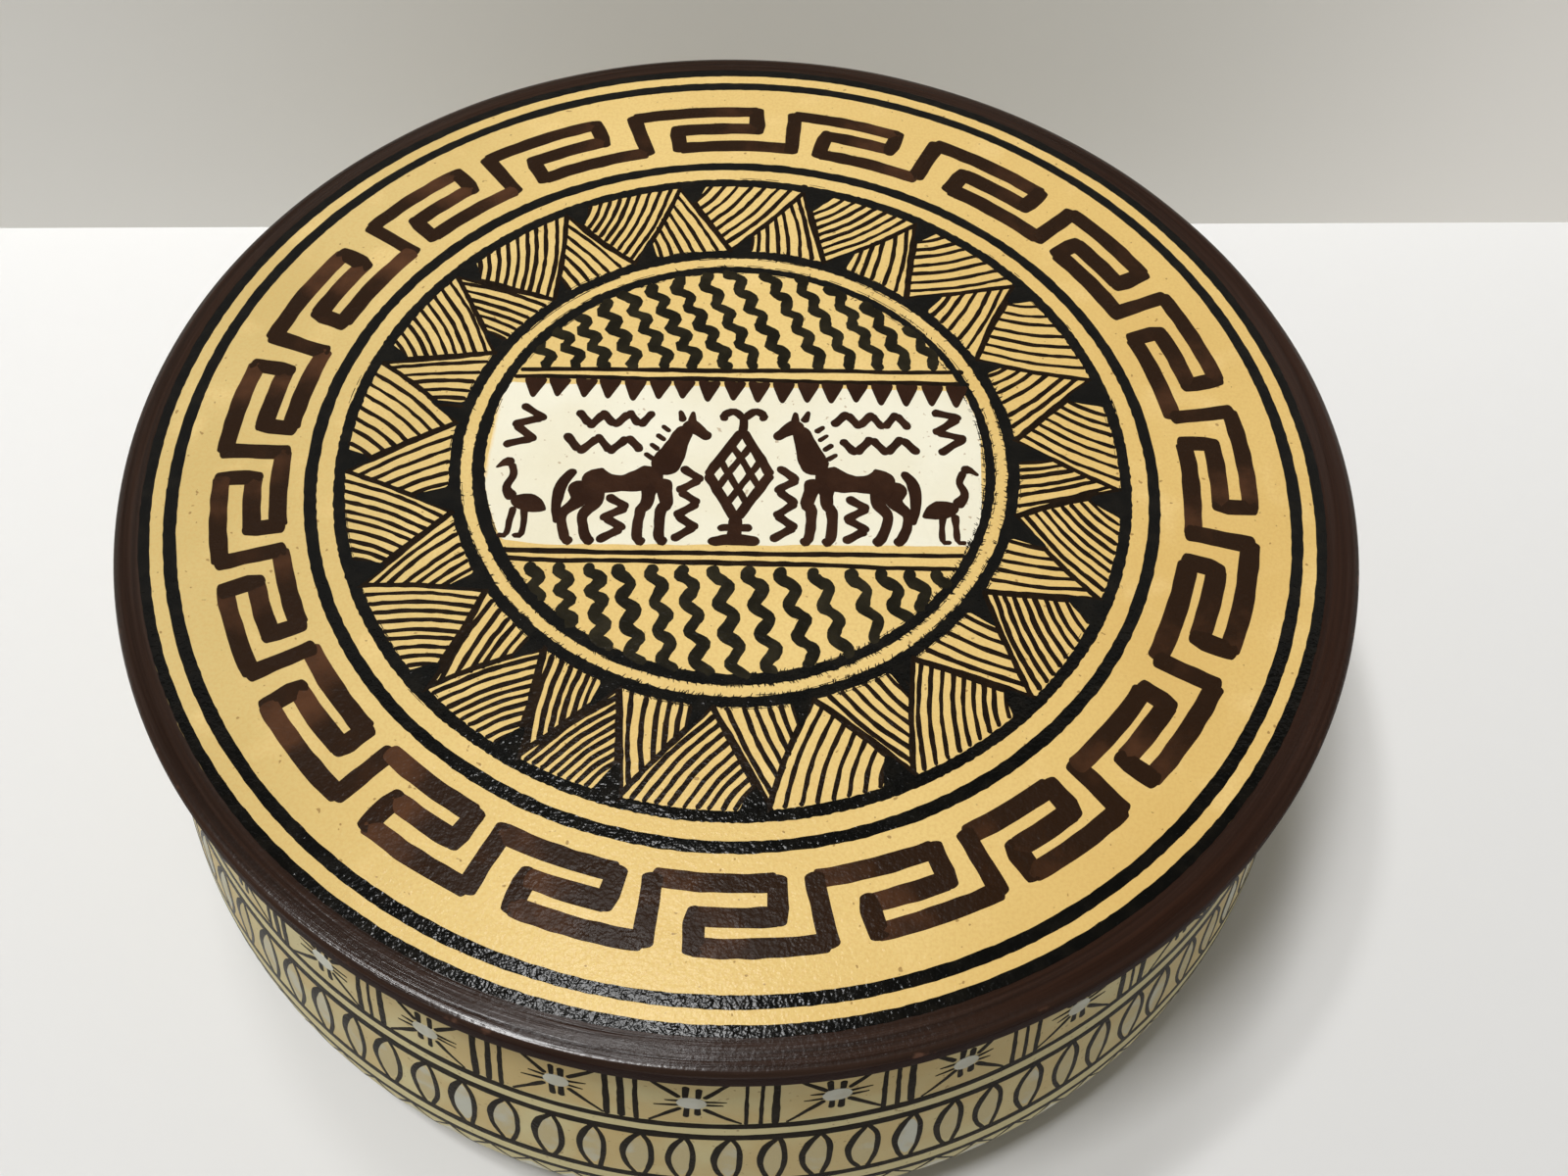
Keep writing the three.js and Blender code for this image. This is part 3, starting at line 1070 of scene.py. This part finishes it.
hatch_black = ink_finish("hatch_black", tint(22, 13, 5), tint(52, 36, 20), lid_gloss)
hatch_brush = Brush(71, thickness=0.03, rough=0.07, grain=0.8, step=0.55)
corner_brush = Brush(72, thickness=0.034)
nudge = hatch_brush.rng.uniform


def inner_clock(turn, radius):
    """A point at a clockwise angle about the middle of the inner rings."""
    return clock(turn, radius, inner_middle)


def hatch(start, end, bow, width):
    """A hatching line from start to end, bowed to its right."""
    way = end - start
    aside = np.array([way[1], -way[0]]) / max(np.linalg.norm(way), 0.01)
    hatch_brush.stroke([start, 0.5 * (start + end) + aside * bow, end], width, (1.0, 0.85, 0.95))


def fill_corner(turn, span, radius, outwards, inset, early, reach, tip):
    """The solid left corner of a triangle: it overlaps the ring that it hangs from, and ends in a tip."""
    over = radius + 0.4 * outwards
    corner = [
        inner_clock(turn - early, over),
        inner_clock(turn + reach * span, over),
        inner_clock(turn + 0.9 * reach * span, radius - inset * outwards),
        tip,
    ]
    corner_brush.dab(flow(corner + [corner[0]], 0.8), smooth=False)


for index, (outer, inner) in enumerate(zip(outer_corners, inner_corners)):
    wrap = 360 if index == len(outer_corners) - 1 else 0
    outer_next = outer_corners[(index + 1) % len(outer_corners)] + wrap
    inner_next = inner_corners[(index + 1) % len(inner_corners)] + wrap
    top_left = inner_clock(outer, triangle_out)
    top_right = inner_clock(outer_next, triangle_out)
    apex = inner_clock(inner, triangle_in)
    past = (top_left - apex) / np.linalg.norm(top_left - apex)
    hatch(top_left + past * nudge(0.2, 1.5), apex - past * 0.3, nudge(-0.2, 0.5), [1.05, 1.1, 0.95, 0.8])
    past = (top_right - apex) / np.linalg.norm(top_right - apex)
    hatch(apex, top_right + past * nudge(0.0, 0.8), nudge(0.0, 0.5), [0.85, 0.74, 0.72])
    count = int(hatch_brush.rng.integers(8, 11))
    for line in range(1, count):
        share = 1 - line / count * 0.86 + nudge(-0.008, 0.008)
        start = top_left + share * (apex - top_left)
        end = inner_clock(outer + share * (outer_next - outer), triangle_out)
        hatch(start, end, 0.05 + 0.035 * np.linalg.norm(end - start), nudge(0.52, 0.70))
    reach = nudge(0.19, 0.28)
    tip = top_left + (reach + 0.03) * (apex - top_left) + nudge(-0.1, 0.1, 2)
    fill_corner(outer, outer_next - outer, triangle_out, 1, 0.25, 0.3, reach, tip)
    count = int(hatch_brush.rng.integers(7, 9))
    for line in range(1, count):
        share = 1 - line / count * 0.84 + nudge(-0.01, 0.01)
        start = apex + share * (top_right - apex)
        foot = share * (0.66 + 0.34 * share)
        end = inner_clock(inner + foot * (inner_next - inner), triangle_in)
        hatch(start, end, -0.03 * np.linalg.norm(end - start) * nudge(0.2, 1.4), nudge(0.53, 0.72))
    reach = nudge(0.20, 0.31)
    tip = apex + (reach + 0.05) * (top_right - apex) + nudge(-0.15, 0.15, 2)
    fill_corner(inner, inner_next - inner, triangle_in, -1, 0.5, 0.4, reach, tip)
hatch_brush.lay("triangle_hatching", hatch_black, *lid_face)
corner_brush.lay("triangle_corners", lid_black, *lid_face)


# The waves above and below the middle strip
# Thick wavy strokes in olive black fill the middle field above and below the strip.
# The upper ones lean and step like stairs, the lower ones swing like threads.
wave_black = tint(24, 21, 12)
wave_thin = tint(58, 52, 36)
field_radius = 30.7
upper_feet = (-24.8, -21.1, -17.8, -13.9, -9.8, -6.2, -2.3, 1.3, 5.2, 9.7, 13.7, 17.3, 20.8, 24.4)
lower_heads = (-23.1, -19.8, -16.2, -12.8, -9.0, -5.4, -1.6, 2.4, 6.1, 10.0, 14.3, 17.9, 21.2, 24.5)


def inside_field(path, spare):
    """The part of a path before it leaves the round middle field."""
    away = np.linalg.norm(path - inner_middle, axis=1)
    past = np.nonzero(away > field_radius + spare)[0]
    return path[: past[0]] if len(past) else path


wave_brush = Brush(81, thickness=0.034, rough=0.09, grain=0.7, step=0.3)
shift = wave_brush.rng.uniform
for foot in upper_feet:
    climb = np.arange(0, 26, 0.2)
    period = np.interp(foot, (-25, -12, 0, 25), (2.5, 2.75, 3.15, 3.05)) * shift(0.96, 1.04)
    swing = np.interp(foot, (-25, -8, 3, 25), (0.76, 0.76, 0.60, 0.50)) * shift(0.92, 1.08)
    phase = 2 * math.pi * climb / period + shift(-0.3, 0.3)
    lean = math.radians(np.interp(foot, (-25, 25), (31, 27)) + shift(-1.5, 1.5))
    x = foot - climb * math.tan(lean) - swing * (np.sin(phase) + 0.3 * np.sin(2 * phase))
    y = 13.97 + 0.071 * foot + 0.45 + climb + 0.12 * np.cos(phase)
    path = inside_field(np.column_stack([x, y]), shift(-0.9, 0.6) if -14 < foot < -3 else 0.6)
    if len(path) > 4:
        width = 1.52 + 0.20 * wander(wave_brush.rng, len(path) * 0.3, len(path), 1.2)
        width[-6:] += 0.2
        wave_brush.stroke(path, width, shift(0.75, 1.0, 4), straight=True)
for head in lower_heads:
    fall = np.arange(0, 20, 0.2)
    period = np.interp(head, (-24, -17, -9, 0, 24), (2.5, 3.0, 3.9, 4.1, 3.8)) * shift(0.96, 1.04)
    swing = np.interp(head, (-24, -12, 24), (0.55, 0.68, 0.70)) * shift(0.9, 1.1)
    phase = 2 * math.pi * fall / period + math.pi + shift(-0.3, 0.3)
    lean = math.radians(np.interp(head, (-12, 6, 24), (11.5, 16, 21)) + shift(-2, 2))
    x = head + fall * math.tan(lean) + swing * (np.sin(phase) + 0.18 * np.sin(2 * phase))
    y = -15.8 + 0.051 * head - 0.2 - fall
    path = inside_field(np.column_stack([x, y]), shift(0.3, 0.9))
    if len(path) > 3:
        width = 1.56 + 0.24 * wander(wave_brush.rng, len(path) * 0.3, len(path), 1.0)
        wave_brush.stroke(path, width, shift(0.7, 1.0, 4), straight=True)
wave_ink = ink_finish("wave_ink", wave_black, wave_thin, lid_gloss)
wave_brush.lay("wave_strokes", wave_ink, *lid_face)


# The thin lines that hold the middle strip
# Two pen-thin black lines above the strip and two below it, ruled by eye and a little aslant.
rule_lines = ((13.97, 0.071), (12.43, 0.055), (-14.16, 0.062), (-15.62, 0.046))

rule_brush = Brush(91, thickness=0.026, rough=0.06, grain=1.3, step=0.6)
for rule_height, rule_slope in rule_lines:
    ends = []
    for side in (-1, 1):
        reach = math.sqrt(field_radius**2 - rule_height**2) * side
        ends.append(np.array([reach - 0.6 + side * 0.9, rule_height + rule_slope * reach]))
    points = [ends[0] + (ends[1] - ends[0]) * part / 7 for part in range(8)]
    points = [point + (0, rule_brush.rng.uniform(-0.12, 0.12)) for point in points]
    rule_brush.stroke(points, rule_brush.rng.uniform(0.64, 0.84, 9), [0.9, 1.0, 0.85, 1.0])
rule_brush.lay("strip_rules", hatch_black, *lid_face)


# The ivory strip
# Across the middle the cream slip is covered with a thin coat of ivory.
# It thins to tan smudges along its left end and its lower edge.
strip_top, strip_top_slope = 12.20, 0.054
strip_foot, strip_foot_slope = -13.75, 0.070
strip_left, strip_right = -31.2, 30.0
strip_radius = 31.1
strip_breadth = 25
ivory_top, ivory_underside = 0.02, -0.04

ivory_brush = Brush(101)
strip_x = np.linspace(strip_left, strip_right, 103)
strip_bound = np.sqrt(np.maximum(strip_radius**2 - (strip_x + 0.6) ** 2, 0))
strip_high = np.minimum(strip_top + strip_top_slope * strip_x, strip_bound)
strip_low = np.maximum(strip_foot + strip_foot_slope * strip_x, -strip_bound)
corner_cut = np.clip((-22 - strip_x) / 9, 0, 1) ** 1.5 * 1.6
strip_low = strip_low + corner_cut + 0.12 * wander(ivory_brush.rng, 60, len(strip_x), 3.0)
strip_high = strip_high - 0.06 * (1 + wander(ivory_brush.rng, 60, len(strip_x), 4.0))
strip_rows = 21
row_share = np.linspace(0, 1, strip_rows)
strip_columns = zip(strip_x, strip_low, strip_high)
strip_flat = [(x, low + (high - low) * share) for x, low, high in strip_columns for share in row_share]
end_near = np.clip((strip_x - strip_left) / 1.2, 0, 1)
strip_lift = np.full((len(strip_x), strip_rows), ivory_top)
strip_lift[0] = strip_lift[-1] = strip_lift[:, 0] = strip_lift[:, -1] = -edge_sink
strip_ink = np.minimum(np.minimum(row_share * strip_breadth / 1.3, 1.0)[None, :], end_near[:, None])
first = ivory_brush.keep(strip_flat, strip_lift.ravel(), strip_ink.ravel())
under = ivory_brush.keep(strip_flat, np.full(strip_lift.size, ivory_underside), strip_ink.ravel())
for column in range(len(strip_x) - 1):
    for row in range(strip_rows - 1):
        a = column * strip_rows + row
        b = a + strip_rows
        ivory_brush.face((first + a, first + b, first + b + 1, first + a + 1))
        ivory_brush.face((under + a, under + a + 1, under + b + 1, under + b))


def ivory_finish():
    """Ivory body colour over cream, tan at its thin edges and faintly specked."""
    material, place = new_finish("strip_ivory")
    ink = attribute(place, "ink")
    smear = noise(place, 260.0, 3.0)
    cover = (ink + (smear - 0.5) * 0.7).rise(0.25, 0.75)
    ivory = noise(place, 70.0, 3.0).rise(0.3, 0.75).between(tint(238, 234, 214), tint(231, 224, 198))
    colour = cover.between(tint(236, 209, 154), ivory)
    specks = noise(place, 1300.0, 1.0).rise(0.73, 0.77) * 0.5
    colour = specks.between(colour, tint(150, 110, 64))
    roughness = 0.22 + smear * 0.1
    return closed(material, varnished(place, colour, roughness, noise(place, 900.0), 0.00003, lid_gloss))


ivory_brush.lay("ivory_strip", ivory_finish(), *lid_face)


# The small figures on the strip
# Two horses face a hatched diamond on a stand, with a wading bird behind each horse. A row of
# solid teeth hangs above them and zigzags fill the gaps, all brushed in much the keys' own brown.
figure_brush = Brush(111, thickness=0.045, rough=0.07, grain=0.9, step=0.4)
strip_middle = -1.0
strip_lean = 0.067
ground = -12.1


def strip_point(x, y):
    """A place on the strip, which lies a little aslant on the lid."""
    return np.array([x, strip_middle + y + strip_lean * x])


def figure(strokes, place, scale, facing):
    """Draws brush strokes, given as points and widths, at a place on the strip and facing one way."""
    for points, widths in strokes:
        path = [strip_point(place[0] + facing * scale * x, place[1] + scale * y) for x, y in points]
        figure_brush.stroke(path, [scale * width for width in widths], figure_brush.rng.uniform(0.8, 1.0, 3))


horse = (
    ([(-5.4, 11.0), (-3.0, 10.0), (0.0, 9.9), (3.0, 10.7), (4.8, 11.7)], [3.8, 4.9, 3.1, 2.6, 3.5, 4.4, 3.4]),
    ([(4.4, 11.4), (5.9, 14.8), (6.9, 17.8), (7.4, 19.4)], [4.2, 3.9, 2.9, 2.4]),
    ([(6.9, 19.7), (8.7, 18.9), (10.7, 17.3)], [2.4, 2.7, 2.0, 1.6, 1.8]),
    ([(6.9, 20.1), (6.3, 22.1)], [1.4, 0.7]),
    ([(8.0, 20.0), (8.1, 21.9)], [1.4, 0.7]),
    ([(4.9, 10.6), (5.8, 6.8), (5.2, 5.4), (5.4, 1.2), (6.5, 0.6)], [3.2, 2.0, 1.8, 1.4, 1.4, 1.6]),
    ([(3.5, 10.2), (3.3, 6.6), (2.6, 5.3), (2.6, 1.2), (3.7, 0.6)], [3.0, 1.9, 1.7, 1.4, 1.4, 1.6]),
    ([(-5.9, 10.2), (-5.5, 7.2), (-7.3, 4.8), (-6.6, 1.2), (-5.5, 0.6)], [4.0, 2.8, 1.8, 1.4, 1.4, 1.6]),
    ([(-4.4, 9.8), (-3.4, 7.0), (-4.7, 4.6), (-3.9, 1.2), (-2.8, 0.6)], [3.6, 2.6, 1.7, 1.4, 1.4, 1.6]),
    ([(-6.5, 12.0), (-7.9, 9.8), (-8.3, 6.8), (-8.0, 3.4)], [1.3, 1.7, 1.5, 0.8]),
    ([(3.5, 13.7), (2.2, 14.8)], [0.9, 0.7]),
    ([(4.1, 15.3), (2.8, 16.4)], [0.9, 0.7]),
    ([(4.8, 16.9), (3.5, 18.0)], [0.9, 0.7]),
    ([(5.3, 18.4), (4.1, 19.5)], [0.9, 0.7]),
)
bird = (
    ([(-4.1, 5.2), (-2.0, 6.3), (0.2, 6.9), (1.5, 7.3)], [0.7, 2.7, 3.7, 3.0, 1.8]),
    ([(1.1, 7.2), (2.5, 9.4), (1.7, 11.9), (2.3, 14.2)], [2.4, 1.5, 1.3, 1.4]),
    ([(1.9, 14.4), (3.2, 14.4), (4.7, 13.3)], [1.8, 1.8, 1.0, 0.5]),
    ([(-0.8, 5.8), (-1.1, 3.0), (-0.9, 0.6), (0.4, 0.5)], [1.4, 1.1, 1.1, 0.9]),
    ([(0.9, 5.8), (1.1, 3.0), (1.4, 0.6), (2.7, 0.5)], [1.4, 1.1, 1.1, 0.9]),
)
stand = (
    ([(0, 0.6), (0, 4.4)], [1.9, 1.6, 1.9]),
    ([(-3.1, 0.6), (0, 0.9), (3.1, 0.6)], [1.3, 1.7, 1.3]),
    ([(-2.1, 2.6), (2.1, 2.6)], [1.1, 1.1]),
    ([(0, 3.8), (3.9, 10.7)], [1.35, 1.35]),
    ([(3.9, 10.3), (0, 17.4)], [1.35, 1.35]),
    ([(0, 17.4), (-3.9, 10.3)], [1.35, 1.35]),
    ([(-3.9, 10.7), (0, 3.8)], [1.35, 1.35]),
    ([(-2.6, 8.4), (1.3, 15.3)], [0.95, 0.95]),
    ([(-1.3, 6.0), (2.6, 12.9)], [0.95, 0.95]),
    ([(2.6, 8.4), (-1.3, 15.3)], [0.95, 0.95]),
    ([(1.3, 6.0), (-2.6, 12.9)], [0.95, 0.95]),
    ([(0, 17.0), (0, 19.6)], [1.3, 1.1]),
    ([(0, 19.2), (-1.3, 20.4), (-2.5, 19.8), (-2.2, 18.9)], [1.1, 1.2, 1.2, 1.0]),
    ([(0, 19.2), (1.3, 20.4), (2.5, 19.8), (2.2, 18.9)], [1.1, 1.2, 1.2, 1.0]),
)
for facing in (1, -1):
    figure(horse, (-13.9 * facing, ground), 0.93, facing)
    figure(bird, (-25.8 * facing - 0.15, ground + (1.0 if facing > 0 else 0.3)), 0.78, -facing)
figure(stand, (0, ground), 1.0, 1)


zigzag_widths = (1.3, 1.3 * 0.85, 1.3 * 1.05)


def zigzag(start, end, swing, pitch):
    """A zigzag between two points of the strip, one short stroke to each leg, laid over the last one."""
    start, end = np.array(start, float), np.array(end, float)
    span = np.linalg.norm(end - start)
    way = (end - start) / span
    aside = np.array([-way[1], way[0]])
    legs = max(2, int(round(2 * span / pitch)))
    turns = [start + way * span * leg / legs + aside * swing * (-1) ** leg for leg in range(legs + 1)]
    for a, b in zip(turns, turns[1:]):
        shaken = figure_brush.rng.uniform(-0.14, 0.14, (2, 2))
        before = 0.35 * (a - b) / np.linalg.norm(a - b)
        leg = [a + before + shaken[0], b + shaken[1]]
        figure([(leg, zigzag_widths)], (0, 0), 1.0, 1)


for facing in (1, -1):
    zigzag((-5.9 * facing, ground + 1.0), (-5.9 * facing, ground + 11.6), 1.15, 3.7)
    zigzag((-14.6 * facing, ground + 0.9), (-14.4 * facing, ground + 7.2), 1.25, 3.6)
    zigzag((-21.6 * facing, ground + 15.2), (-12.2 * facing, ground + 15.0), 1.1, 3.5)
    zigzag((-20.6 * facing, ground + 19.0), (-11.2 * facing, ground + 19.2), 1.0, 3.4)
    zigzag((-26.9 * facing - 0.5, ground + 14.6), (-25.6 * facing - 0.5, ground + 21.0), 1.6, 3.3)
for tooth in range(18):
    middle = -26.6 + tooth * 3.13 + figure_brush.rng.uniform(-0.15, 0.15)
    base = strip_top + strip_top_slope * middle - 0.15
    tip = base - figure_brush.rng.uniform(2.8, 3.4)
    corners = [(middle - 1.4, base), (middle, base + 0.1), (middle + 1.4, base), (middle + 0.5, tip + 0.7)]
    corners += [(middle + 0.1, tip), (middle - 0.3, tip + 0.1), (middle - 0.7, tip + 0.9)]
    figure_brush.dab(corners, figure_brush.rng.uniform(0.85, 1.0))
figure_brown = ink_finish("figure_brown", tint(43, 24, 14), tint(80, 51, 33), lid_gloss, 300.0, 0.25)
figure_brush.lay("strip_figures", figure_brown, *lid_face)
